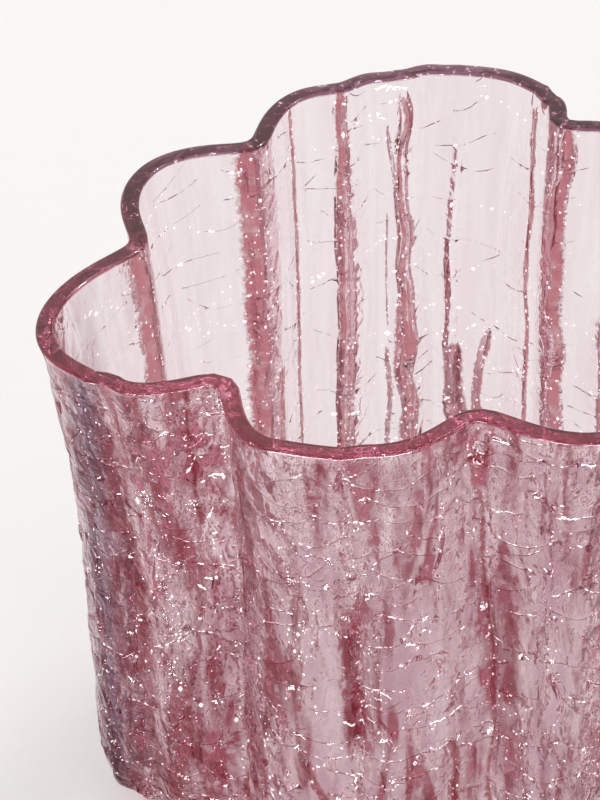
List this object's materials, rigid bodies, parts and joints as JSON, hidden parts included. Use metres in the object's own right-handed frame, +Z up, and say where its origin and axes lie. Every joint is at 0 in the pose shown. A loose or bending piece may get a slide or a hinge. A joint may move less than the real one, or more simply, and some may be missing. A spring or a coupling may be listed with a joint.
{
  "type": "crackle glass vase",
  "caption": "Wide open vase of pink crackle glass with a wall folded into rounded lobes, a polished rim and a rounded foot.",
  "frame": {"origin": "on the resting plane, under the middle of the bounding box", "axes": "+Z up through the mouth; +X towards the side with the narrower lobes; -Y is the side nearest the camera in the picture"},
  "size_m": [0.1948, 0.1904, 0.175],
  "materials": {
    "pink_glass": "clear pink glass with a crackled outside, polished rim"
  },
  "bodies": {
    "root": {"glass_body": "pink_glass"}
  },
  "joints": []
}
